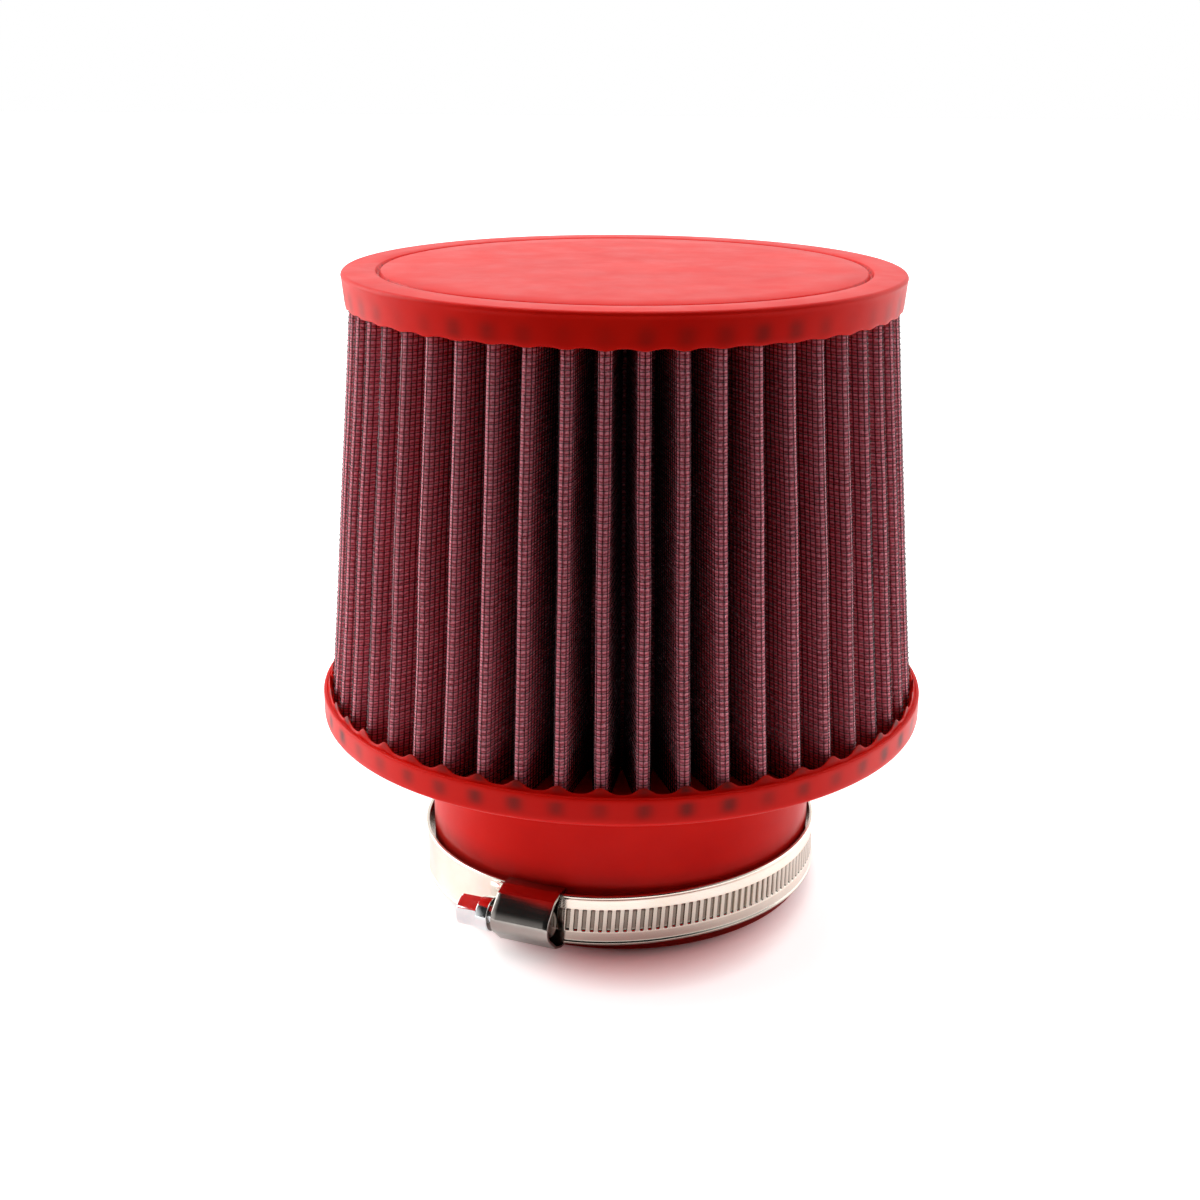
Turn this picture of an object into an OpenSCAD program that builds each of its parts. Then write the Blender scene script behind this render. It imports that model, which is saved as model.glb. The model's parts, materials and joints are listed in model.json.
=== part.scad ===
// Cone air filter: a pleated cotton gauze cone between two wire meshes, moulded into a base with
// a pipe neck and a closed top cap, with a worm drive clamp lying loose round the neck.
// The neck's open end stands on z = 0, centred on the Z axis. The front is towards -Y.

/* [Neck] */
// Bore that takes the intake pipe
neck_bore_d = 85; // [72:0.5:88]
// Wall of the neck
neck_wall = 6; // [4:0.25:8]
// Height of the neck, from its open end to the flange
neck_h = 45.6; // [36:0.1:80]
// Rounding of the outer edge at the open end
neck_edge_r = 0.8; // [0.2:0.1:1.5]
// Fillet between the neck and the flange
neck_fillet_r = 1.5; // [0.5:0.1:4]
// Rounding of the throat, where the bore opens into the filter
throat_r = 9; // [4:0.5:12]

/* [Base flange] */
// Diameter of the flange
flange_d = 150; // [142:1:180]
// Height of the flange's rim
flange_h = 6.7; // [5.5:0.1:12]
// Wall outside the pleats, from the rim to the potting channel
rim_wall = 1.75; // [1.5:0.05:3]
// Depth of the channel that the pleat ends are potted in
base_channel_depth = 2.8; // [1.5:0.1:4]
// Rounding of the flange's lower edge
flange_edge_r = 1.2; // [0.4:0.1:2.5]
// Rounding of the flange's upper edge
lip_r = 0.4; // [0.2:0.05:0.6]
// Depth of the trough between the flange's lip and the collar
trough_depth = 0.35; // [0.1:0.05:0.8]
// Height that the collar climbs at each pleat, above the rim
cusp_h = 2; // [0.8:0.1:4]
// Width of the small flat that each cusp ends in
cusp_land = 0.6; // [0.3:0.1:1.5]
// Height of the collar between two pleats, above the rim
collar_low_h = 0.3; // [0.1:0.1:0.7]
// Thickness of the collar at its top edge
collar_t = 0.4; // [0.3:0.05:0.8]

/* [Top cap] */
// Overall height of the filter
total_h = 154.5; // [120:0.5:220]
// Diameter of the cap at its upper rim
cap_d = 132.4; // [118:0.2:150]
// Height of the cap's skirt
cap_h = 7.8; // [6:0.1:12]
// How much smaller the skirt's radius is at its lower edge
cap_draft = 0.7; // [0:0.1:1.5]
// Wall of the skirt outside the pleats, at its lower edge
skirt_wall = 0.6; // [0.5:0.05:1.5]
// Depth of the channel that the pleat ends are potted in
cap_channel_depth = 2.8; // [1.5:0.1:4]
// Rounding of the upper rim
cap_edge_r = 1.5; // [0.5:0.1:2.5]
// Distance from the cap's edge to the middle of the ring groove in its top
cap_groove_inset = 8.6; // [4:0.2:20]
// Width of the ring groove
cap_groove_w = 1.5; // [0.8:0.1:3]
// Depth of the ring groove
cap_groove_depth = 1; // [0.4:0.1:2]

/* [Pleats] */
// Number of pleats
pleat_count = 50; // [40:1:52]
// Depth of the pleats at the base
pleat_depth_base = 18; // [12:0.5:20]
// Depth of the pleats at the top
pleat_depth_top = 17; // [11:0.5:19]
// Half of the gap left inside each fold
fold_gap = 0.25; // [0.15:0.05:0.4]
// Thickness of the cotton gauze
gauze_t = 1; // [0.6:0.05:1.2]
// Thickness of each wire mesh
mesh_t = 0.2; // [0.15:0.05:0.3]
// Play between two layers
layer_gap = 0.03; // [0.02:0.01:0.05]
// Play between the pleat ends and the channels they are potted in
potting_gap = 0.15; // [0.1:0.05:0.3]
// Turn of the pleats, the first ridge seen from the front
pleat_phase = 3.8; // [0:0.1:7.2]

/* [Clamp band] */
// Width of the band
band_w = 12.7; // [9:0.1:14]
// Thickness of the band
band_t = 0.7; // [0.5:0.05:1]
// How far the rolled edges stand out of the band
band_lip = 0.2; // [0.1:0.05:0.4]
// Width of each rolled edge
band_lip_w = 0.9; // [0.5:0.1:1.5]
// Mean gap between the loose band and the neck
clamp_slack = 1; // [0.9:0.05:1.5]
// Gap left where the band rests against the back of the neck
clamp_rest_gap = 0.25; // [0.2:0.05:0.4]
// Gap between the band's lowest point and the ground
clamp_floor_gap = 0.1; // [0.1:0.1:10]
// How far the loose clamp is tipped up at the front, in degrees
clamp_tip_front = 1.5; // [0:0.1:1.6]
// How far the loose clamp is tipped up at the right, in degrees
clamp_tip_side = 1.3; // [0:0.1:1.4]
// Distance between two of the band's thread slots
slot_pitch = 1.94; // [1.6:0.02:2.4]
// Length of the threaded stretch of the band
thread_len = 130; // [60:1:150]
// Length of a thread slot, across the band
slot_len = 5.5; // [3:0.1:6]
// Width of a thread slot, along the band
slot_w = 0.85; // [0.5:0.05:1]
// Depth of a thread slot
slot_depth = 0.4; // [0.2:0.05:0.45]

/* [Clamp housing] */
// Angle of the housing, left of the front
housing_angle = 23.5; // [0:0.5:180]
// Length of the housing
housing_len = 15; // [12:0.5:18]
// Sheet thickness of the housing
housing_wall = 0.7; // [0.5:0.05:0.9]
// How far the housing's shoulders draw in above the band's edges
shoulder_in = 1.1; // [0.5:0.1:1.4]
// Thickness of the saddle between the band and the neck
saddle_t = 0.7; // [0.5:0.05:0.8]
// Clearance round the band where it runs through the housing
band_clear = 0.1; // [0.05:0.05:0.2]

/* [Clamp screw] */
// Radius of the worm over its thread
worm_r = 3.3; // [2.6:0.1:3.8]
// Clearance between the worm and the housing
worm_clear = 0.15; // [0.1:0.05:0.3]
// Clearance between the worm's thread and the band
mesh_clear = 0.3; // [0.2:0.05:0.5]
// Radius of the journal that turns in the housing's end wall
journal_r = 2.2; // [1.5:0.1:2.6]
// Running clearance of the journal
journal_clear = 0.08; // [0.04:0.01:0.1]
// Gap between the end wall and the worm
journal_play = 0.3; // [0.2:0.05:0.6]
// Gap between the end wall and the collar at the head
head_gap = 1.1; // [0.3:0.1:1.5]
// Radius of the collar at the head
collar_r = 4.1; // [3.6:0.1:4.1]
// Height of the collar
collar_h = 3; // [1:0.1:4]
// Width of the hexagon across its flats
hex_af = 7; // [5.5:0.1:7]
// Height of the hexagon
hex_h = 5.4; // [3:0.1:7]
// Width of the screwdriver slot
driver_slot_w = 1.2; // [0.8:0.1:1.6]
// Depth of the screwdriver slot
driver_slot_depth = 2; // [1:0.1:2.5]

/* [Hidden] */
$fn = 96;

POLYURETHANE = [0.62, 0.04, 0.05];
GAUZE = [0.55, 0.13, 0.16];
DARK_MESH = [0.2, 0.18, 0.19];
STEEL = [0.78, 0.76, 0.72];
ZINC = [0.82, 0.84, 0.86];

// Curves drawn as polygons are split into steps of about this many degrees
ARC_STEP = 15;
// Steps of the band's plan, in degrees
BAND_STEP = 3;
// Steps round each fold of the media
FOLD_STEPS = 4;
// Overlap that makes a cut go clean through
CUT = 1;

// Neck and flange
bore_r = neck_bore_d / 2;
neck_r = bore_r + neck_wall;
flange_r = flange_d / 2;
rim_z = neck_h + flange_h;
base_floor_z = rim_z - base_channel_depth;
channel_out_r = flange_r - rim_wall;

// Top cap
cap_r = cap_d / 2;
skirt_z = total_h - cap_h;
skirt_r = cap_r - cap_draft;
cap_floor_z = skirt_z + cap_channel_depth;

// The layers of the media, each a pair of depths below the outer face
media_t = 2 * mesh_t + 2 * layer_gap + gauze_t;
OUTER_MESH_LAYER = [0, mesh_t];
GAUZE_LAYER = [mesh_t + layer_gap, mesh_t + layer_gap + gauze_t];
INNER_MESH_LAYER = [media_t - mesh_t, media_t];

// The pleats stand in both channels, and their ridges lie on a cone between the two walls
media_z0 = base_floor_z + potting_gap;
media_z1 = cap_floor_z - potting_gap;
ridge_r_base = channel_out_r - potting_gap;
ridge_r_skirt = skirt_r - skirt_wall - potting_gap;
ridge_slope = (ridge_r_skirt - ridge_r_base) / (skirt_z - media_z0);
function ridge_r(z) = ridge_r_base + ridge_slope * (z - media_z0);
ridge_r_top = ridge_r(media_z1);
valley_r_base = ridge_r_base - pleat_depth_base;
valley_r_top = ridge_r_top - pleat_depth_top;
half_pitch = 180 / pleat_count;
// Direction of the first ridge
ridge_angle = pleat_phase - 90;

// Inner walls of the two channels, and the throat between the bore and the channel
base_inner_r = valley_r_base - media_t - potting_gap;
cap_inner_r = valley_r_top - media_t - potting_gap;
throat_land = 1;
throat = min(throat_r, base_inner_r - bore_r - throat_land);

// The collar's scallops: a cylinder over each valley leaves a cusp at each ridge
scallop_half_w = (channel_out_r + collar_t) * sin(half_pitch) - cusp_land / 2;
scallop_rise = cusp_h - collar_low_h;
scallop_r = (pow(scallop_half_w, 2) + pow(scallop_rise, 2)) / (2 * scallop_rise);
// The collar's flank, from its top edge out to the trough
collar_foot = 0.3;
trough_r = channel_out_r + collar_t + collar_foot;
trough_w = 0.3;

// The band: one strip whose threaded end climbs over its fixed end and runs under the worm
band_in_r = neck_r + clamp_slack;
band_out_r = band_in_r + band_t;
overlap_gap = 0.05;
climb = band_t + band_lip + overlap_gap;
// Angles along the band, counted to the right from the middle of the housing
housing_half_angle = atan(housing_len / 2 / band_out_r);
fixed_end_angle = 360 + housing_half_angle - 0.5;
climb_end_angle = housing_half_angle + 1.5;
climb_arc = 40;
// How far the threaded end stands out of the housing, on the head's side
tail_out = 1.4;
tail_angle = housing_half_angle + tail_out / band_out_r * 180 / PI;

// The clamp's place: it rests against the back of the neck and all but touches the ground
clamp_shift = clamp_slack - clamp_rest_gap;
clamp_tip = acos(cos(clamp_tip_front) * cos(clamp_tip_side));
clamp_z = clamp_floor_gap + (band_out_r + band_lip) * sin(clamp_tip);

// Housing and screw, in a frame whose X runs out from the neck and whose Y runs along the screw
screw_r = band_out_r + climb + mesh_clear + worm_r;
barrel_in_r = worm_r + worm_clear;
side_in = band_w / 2 + band_clear;
// The band's way through the housing, between these radii
way_in_r = band_in_r - band_clear / 2;
way_out_r = band_out_r + band_lip + climb + band_clear;
housing_head_end = -housing_len / 2;
worm_start = housing_head_end + housing_wall + journal_play;
worm_end = housing_len / 2 - housing_wall;
collar_end = housing_head_end - head_gap;
slot_slant = atan(slot_pitch / (2 * PI * worm_r));

// Points on an arc of radius r about c, from angle a0 to angle a1
function arc(c, r, a0, a1) =
    let (n = max(1, ceil(abs(a1 - a0) / ARC_STEP)))
    [for (i = [0 : n]) let (a = a0 + (a1 - a0) * i / n) c + r * [cos(a), sin(a)]];

// A point at distance r from c, in a direction counted from +Y towards +X
function towards(c, r, a) = c + r * [sin(a), cos(a)];

// A point turned by an angle
function turned(p, a) = [p.x * cos(a) - p.y * sin(a), p.x * sin(a) + p.y * cos(a)];

// One pleat's outline at a depth d below the outer face: round its ridge, down a straight flank
// that touches both folds, and round the valley to its right
function pleat_points(ridge, valley, d) =
    let (
        ridge_c = [0, ridge - fold_gap - media_t],
        valley_c = (valley + fold_gap) * [sin(half_pitch), cos(half_pitch)],
        across = valley_c - ridge_c,
        lean = atan2(across.x, -across.y),
        flank = 180 - lean - acos((media_t + 2 * fold_gap) / norm(across)),
        sweep = 180 + 2 * half_pitch - 2 * flank
    )
    concat(
        [for (i = [0 : FOLD_STEPS])
            towards(ridge_c, media_t + fold_gap - d, flank * (2 * i / FOLD_STEPS - 1))],
        [for (i = [0 : FOLD_STEPS])
            towards(valley_c, fold_gap + d,
                flank + 180 + (2 * half_pitch - 2 * flank) * i / FOLD_STEPS)]
    );

// The whole pleated outline at one height, as points in space
function pleated_ring(ridge, valley, d, z) =
    let (one = pleat_points(ridge, valley, d))
    [for (k = [0 : pleat_count - 1], p = one)
        let (q = turned(p, ridge_angle - 90 - 2 * half_pitch * k)) [q.x, q.y, z]];

// The two triangles of a quad
function quad(a, b, c, d) = [[a, b, c], [a, c, d]];

// A closed pleated sheet between two depths below the media's outer face. Both of its sides are
// split along the same diagonals, so that the layers lie close without meeting
module pleated_layer(depths) {
    rings = [
        pleated_ring(valley = valley_r_base, ridge = ridge_r_base, d = depths[0], z = media_z0),
        pleated_ring(valley = valley_r_top, ridge = ridge_r_top, d = depths[0], z = media_z1),
        pleated_ring(valley = valley_r_base, ridge = ridge_r_base, d = depths[1], z = media_z0),
        pleated_ring(valley = valley_r_top, ridge = ridge_r_top, d = depths[1], z = media_z1)
    ];
    n = len(rings[0]);
    faces = [for (i = [0 : n - 1])
        let (j = (i + 1) % n)
        each concat(
            quad(i, n + i, n + j, j),
            quad(2 * n + i, 2 * n + j, 3 * n + j, 3 * n + i),
            quad(j, 2 * n + j, 2 * n + i, i),
            quad(n + i, 3 * n + i, 3 * n + j, n + j)
        )];
    polyhedron(points = [for (r = rings) each r], faces = faces, convexity = 20);
}

module gauze_media() {
    color(GAUZE) pleated_layer(GAUZE_LAYER);
}

module outer_wire_mesh() {
    color(DARK_MESH) pleated_layer(OUTER_MESH_LAYER);
}

module inner_wire_mesh() {
    color(DARK_MESH) pleated_layer(INNER_MESH_LAYER);
}

// Section of the neck and flange, from the open end up the outside and back down the bore
function base_profile() = concat(
    [[bore_r, 0]],
    arc([neck_r - neck_edge_r, neck_edge_r], neck_edge_r, -90, 0),
    arc([neck_r + neck_fillet_r, neck_h - neck_fillet_r], neck_fillet_r, 180, 90),
    arc([flange_r - flange_edge_r, neck_h + flange_edge_r], flange_edge_r, -90, 0),
    arc([flange_r - lip_r, rim_z - lip_r], lip_r, 0, 90),
    [
        [trough_r + trough_w, rim_z],
        [trough_r, rim_z - trough_depth],
        [channel_out_r + collar_t, rim_z + cusp_h],
        [channel_out_r, rim_z + cusp_h],
        [channel_out_r, base_floor_z],
        [base_inner_r, base_floor_z],
        [base_inner_r, rim_z]
    ],
    arc([bore_r + throat, rim_z - throat], throat, 90, 180)
);

// One scallop's cutter: it lies along the radius over a valley and stays outside the channel
module scallop() {
    translate([channel_out_r - CUT, 0, rim_z + collar_low_h + scallop_r])
        rotate([0, 90, 0])
            cylinder(r = scallop_r, h = trough_r - channel_out_r + CUT);
}

module base_mount() {
    color(POLYURETHANE) difference() {
        rotate_extrude() polygon(base_profile());
        for (k = [0 : pleat_count - 1])
            rotate(ridge_angle + (2 * k + 1) * half_pitch) scallop();
    }
}

// Section of the cap, from its middle underneath, round both walls of the channel, to its top
function cap_profile() =
    let (
        plug_z = skirt_z + potting_gap,
        groove_in = cap_r - cap_groove_inset - cap_groove_w / 2,
        groove_out = cap_r - cap_groove_inset + cap_groove_w / 2
    )
    concat(
        [
            [0, plug_z],
            [cap_inner_r, plug_z],
            [cap_inner_r, cap_floor_z],
            [ridge_r(cap_floor_z) + potting_gap, cap_floor_z],
            [skirt_r - skirt_wall, skirt_z],
            [skirt_r, skirt_z]
        ],
        arc([cap_r - cap_edge_r, total_h - cap_edge_r], cap_edge_r, 0, 90),
        [
            [groove_out, total_h],
            [groove_out - cap_groove_w / 4, total_h - cap_groove_depth],
            [groove_in + cap_groove_w / 4, total_h - cap_groove_depth],
            [groove_in, total_h],
            [0, total_h]
        ]
    );

module top_cap() {
    color(POLYURETHANE) rotate_extrude() polygon(cap_profile());
}

// The loose clamp's own frame: the band's lower edge lies in its XY plane
module in_clamp() {
    translate([0, -clamp_shift, clamp_z])
        rotate([-clamp_tip_front, -clamp_tip_side, 0])
            children();
}

// The housing's frame within the clamp: X points out through the housing, Y along the screw
module at_housing() {
    in_clamp() rotate(-90 - housing_angle) children();
}

// Radius of the band's inner face at an angle right of the housing's middle: the threaded end
// lies a climb further out, and eases down to the plain ring over climb_arc
function band_r(a) =
    let (eased = min(max((a - climb_end_angle) / climb_arc, 0), 1))
    band_in_r + climb * (1 + cos(180 * eased)) / 2;

// Plan of the strip from its tail to its fixed end, t thick
module strip(t) {
    steps = round((fixed_end_angle + tail_angle) / BAND_STEP);
    angles = [for (i = [0 : steps])
        -tail_angle + (fixed_end_angle + tail_angle) * i / steps];
    outside = [for (a = angles) (band_r(a) + t) * [cos(a), sin(a)]];
    inside = [for (i = [steps : -1 : 0]) band_r(angles[i]) * [cos(angles[i]), sin(angles[i])]];
    polygon(concat(outside, inside));
}

// A thread slot's cutter, a length along the strip from its tail
module band_slot(along_strip) {
    a = along_strip / band_out_r * 180 / PI - tail_angle;
    rotate(a) translate([band_r(a) + band_t + CUT / 2, 0, band_w / 2])
        rotate([-slot_slant, 0, 0])
            cube([CUT + 2 * slot_depth, slot_w, slot_len], center = true);
}

module clamp_band() {
    color(STEEL) at_housing() difference() {
        union() {
            linear_extrude(band_w) strip(band_t);
            for (z = [0, band_w - band_lip_w])
                translate([0, 0, z]) linear_extrude(band_lip_w) strip(band_t + band_lip);
        }
        for (at = [slot_pitch : slot_pitch : thread_len]) band_slot(at);
    }
}

// Outline of the housing about the screw: a round barrel whose flanks lean at 45 degrees to the
// shoulders, which slope out to two sides that run in past the band's edges
module housing_outline(r, side) {
    axis = [screw_r, band_w / 2];
    flat = r * cos(45);
    shoulder = side - shoulder_in;
    corner = screw_r + r * sqrt(2) - shoulder;
    translate(axis) circle(r);
    translate([0, axis.y]) polygon([
        [band_in_r / 2, -side],
        [way_out_r + band_clear, -side],
        [corner, -shoulder],
        [screw_r + flat, -flat],
        [screw_r + flat, flat],
        [corner, shoulder],
        [way_out_r + band_clear, side],
        [band_in_r / 2, side]
    ]);
}

// A prism along the screw, from y0 to y1
module along(y0, y1) {
    translate([0, y1, 0]) rotate([90, 0, 0]) linear_extrude(y1 - y0) children();
}

// Turns what stands on Z so that it lies along the screw, from y on
module on_screw(y) {
    translate([screw_r, y, band_w / 2]) rotate([-90, 0, 0]) children();
}

module clamp_housing() {
    color(STEEL) at_housing() difference() {
        along(housing_head_end, housing_len / 2)
            housing_outline(barrel_in_r + housing_wall, side_in + housing_wall);
        // Hollow under the saddle, which lies on the neck's side of the band
        translate([0, 0, -band_w]) cylinder(r = way_in_r - saddle_t, h = 3 * band_w);
        // The band's way through
        translate([0, 0, -band_clear]) difference() {
            cylinder(r = way_out_r, h = band_w + 2 * band_clear);
            translate([0, 0, -CUT]) cylinder(r = way_in_r, h = band_w + 2 * (band_clear + CUT));
        }
        // The worm's room, which leaves the end wall standing
        difference() {
            along(housing_head_end + housing_wall, housing_len / 2 + CUT)
                housing_outline(barrel_in_r, side_in);
            translate([0, 0, -band_w]) cylinder(r = way_out_r, h = 3 * band_w);
        }
        on_screw(housing_head_end - CUT)
            cylinder(r = journal_r + journal_clear, h = housing_wall + 2 * CUT);
    }
}

module clamp_screw() {
    hex_start = collar_end - collar_h - hex_h;
    corner_r = hex_af / 2 / cos(30);
    chamfer = corner_r - hex_af / 2;
    color(ZINC) at_housing() {
        on_screw(worm_start) cylinder(r = worm_r, h = worm_end - worm_start);
        on_screw(collar_end) cylinder(r = journal_r, h = worm_start - collar_end);
        on_screw(collar_end - collar_h) cylinder(r = collar_r, h = collar_h);
        difference() {
            on_screw(hex_start) intersection() {
                cylinder(r = corner_r, h = hex_h, $fn = 6);
                // The chamfer takes the corners off the head's end
                union() {
                    cylinder(r1 = hex_af / 2, r2 = corner_r + CUT / 10, h = chamfer);
                    translate([0, 0, chamfer]) cylinder(r = corner_r + CUT / 10, h = hex_h);
                }
            }
            on_screw(hex_start - CUT)
                translate([-corner_r - CUT, -driver_slot_w / 2, 0])
                    cube([2 * (corner_r + CUT), driver_slot_w, driver_slot_depth + CUT]);
        }
    }
}

base_mount();
top_cap();
gauze_media();
outer_wire_mesh();
inner_wire_mesh();
clamp_band();
clamp_housing();
clamp_screw();
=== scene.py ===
import json
import math

import bpy
import numpy as np
from mathutils import Matrix, Vector

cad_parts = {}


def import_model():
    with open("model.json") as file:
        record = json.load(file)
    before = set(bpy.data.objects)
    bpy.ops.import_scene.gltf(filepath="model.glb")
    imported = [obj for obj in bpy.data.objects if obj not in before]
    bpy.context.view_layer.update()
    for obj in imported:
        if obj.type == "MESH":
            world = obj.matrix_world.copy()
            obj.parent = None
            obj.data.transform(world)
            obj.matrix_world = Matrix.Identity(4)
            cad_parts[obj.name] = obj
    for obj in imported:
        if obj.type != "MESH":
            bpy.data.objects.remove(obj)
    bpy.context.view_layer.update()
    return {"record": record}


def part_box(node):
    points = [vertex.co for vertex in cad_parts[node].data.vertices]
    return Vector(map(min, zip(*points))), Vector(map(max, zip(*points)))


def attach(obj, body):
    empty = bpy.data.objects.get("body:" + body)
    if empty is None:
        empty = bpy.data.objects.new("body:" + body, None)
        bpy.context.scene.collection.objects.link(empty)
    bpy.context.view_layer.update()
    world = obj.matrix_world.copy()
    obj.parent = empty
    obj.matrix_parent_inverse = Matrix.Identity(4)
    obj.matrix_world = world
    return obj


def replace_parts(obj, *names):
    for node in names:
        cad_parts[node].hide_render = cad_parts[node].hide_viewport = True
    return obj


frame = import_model()

MM = 0.001
rng = np.random.default_rng(11)


def corners(node):
    """Lowest and highest corner of a CAD node, in millimetres."""
    low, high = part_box(node)
    return np.array(low) / MM, np.array(high) / MM


def mount(name):
    """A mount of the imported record."""
    return next(m for m in frame["record"]["mounts"] if m["name"] == name)


# Walls and small heights of the moulded ends, which the frame doesn't hold
NECK_WALL = 6
FLANGE_H = 6.7
CUSP_H = 2
COLLAR_LOW_H = 0.3
RIM_WALL = 1.75
CAP_DRAFT = 0.7
SKIRT_WALL = 0.6
GROOVE_INSET = 8.6
GROOVE_DEPTH = 1.0

# Sizes of the moulded ends, from the frame and those walls
_, BASE_HIGH = corners("base_mount")
CAP_LOW, CAP_HIGH = corners("top_cap")
BORE_R = mount("pipe_bore")["dims"]["r_mm"]
NECK_R = BORE_R + NECK_WALL
FLANGE_R = BASE_HIGH[0]
RIM_Z = BASE_HIGH[2] - CUSP_H
NECK_H = RIM_Z - FLANGE_H
CHANNEL_R = FLANGE_R - RIM_WALL
CAP_R = CAP_HIGH[0]
TOTAL_H = CAP_HIGH[2]
SKIRT_Z = CAP_LOW[2]
SKIRT_R = CAP_R - CAP_DRAFT
GROOVE_R = CAP_R - GROOVE_INSET

# The pleated media: its layers, and its folds at the base and at the top
MEDIA_LOW, MEDIA_HIGH = corners("outer_wire_mesh")
PLEATS = 50
HALF_PITCH = math.pi / PLEATS
FIRST_RIDGE = math.radians(3.8 - 90)
FOLD_GAP = 0.25
MESH_T = 0.2
LAYER_GAP = 0.03
GAUZE_T = 1
MEDIA_T = 2 * MESH_T + 2 * LAYER_GAP + GAUZE_T
POTTING_GAP = 0.15
RIDGE_R_BASE = CHANNEL_R - POTTING_GAP
RIDGE_R_SKIRT = SKIRT_R - SKIRT_WALL - POTTING_GAP
RIDGE_SLOPE = (RIDGE_R_SKIRT - RIDGE_R_BASE) / (SKIRT_Z - MEDIA_LOW[2])
PLEAT_DEPTH_BASE = 18
PLEAT_DEPTH_TOP = 17

# Heights to which the polyurethane has run in between the pleats
FILL_Z = RIM_Z - 2.5
CAP_FILL_Z = SKIRT_Z + 0.7


# Meshes


def grid(rows, columns, wrap_rows=False, wrap_columns=False):
    """Quads of a grid of rows * columns vertices, counted row by row."""
    r = np.arange(rows if wrap_rows else rows - 1)[:, None]
    c = np.arange(columns if wrap_columns else columns - 1)[None, :]
    r1, c1 = (r + 1) % rows, (c + 1) % columns
    quads = np.stack(
        [r * columns + c, r * columns + c1, r1 * columns + c1, r1 * columns + c], axis=-1
    )
    return quads.reshape(-1, 4)


def fan(centre, rim, flip=False):
    """Triangles from a centre vertex to a closed rim of vertices."""
    rim = np.asarray(rim)
    ahead = np.roll(rim, -1)
    middle = np.full(len(rim), centre)
    order = [middle, ahead, rim] if flip else [middle, rim, ahead]
    return np.stack(order, axis=-1)


def piece(name, points, faces, material, body="root", attributes=(), sharp=35):
    """A mesh object made from points in millimetres and arrays of faces, riding on a body."""
    mesh = bpy.data.meshes.new(name)
    points = np.asarray(points, float).reshape(-1, 3)
    mesh.vertices.add(len(points))
    mesh.vertices.foreach_set("co", (points * MM).astype(np.float32).ravel())
    sizes = np.concatenate([np.full(len(f), f.shape[1]) for f in faces])
    corner = np.concatenate([f.ravel() for f in faces]).astype(np.int32)
    mesh.loops.add(len(corner))
    mesh.loops.foreach_set("vertex_index", corner)
    mesh.polygons.add(len(sizes))
    starts = np.concatenate([[0], np.cumsum(sizes)[:-1]]).astype(np.int32)
    mesh.polygons.foreach_set("loop_start", starts)
    mesh.update(calc_edges=True)
    for label, values in attributes:
        values = np.asarray(values, np.float32)
        if values.ndim == 1:
            mesh.attributes.new(label, "FLOAT", "POINT").data.foreach_set("value", values)
        else:
            made = mesh.attributes.new(label, "FLOAT_VECTOR", "POINT")
            made.data.foreach_set("vector", values.ravel())
    mesh.shade_smooth()
    if sharp:
        mesh.set_sharp_from_angle(angle=math.radians(sharp))
    mesh.materials.append(material)
    made = bpy.data.objects.new(name, mesh)
    bpy.context.scene.collection.objects.link(made)
    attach(made, body)
    return made


def arc(centre, radius, start, end, steps):
    """Points of an arc, from one angle in degrees to another."""
    angles = np.radians(np.linspace(start, end, steps + 1))
    return [(centre[0] + radius * math.cos(a), centre[1] + radius * math.sin(a)) for a in angles]


def smooth(x, low, high):
    """A step from 0 at low to 1 at high with soft ends."""
    t = np.clip((np.asarray(x, float) - low) / (high - low), 0, 1)
    return t * t * (3 - 2 * t)


def wobble(angle, waves, seed):
    """Smooth noise round the axis, about one in size, that repeats after a turn."""
    local = np.random.default_rng(seed)
    total = np.zeros_like(angle)
    for n in waves:
        total += local.normal() * np.cos(n * angle + local.uniform(0, 2 * math.pi))
    return total / math.sqrt(len(waves))


def ridge_nearness(angle):
    """1 in front of a ridge and 0 in front of a valley, in whole cosine waves."""
    return 0.5 + 0.5 * np.cos((angle - FIRST_RIDGE) * PLEATS)


# Shader nodes


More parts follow.
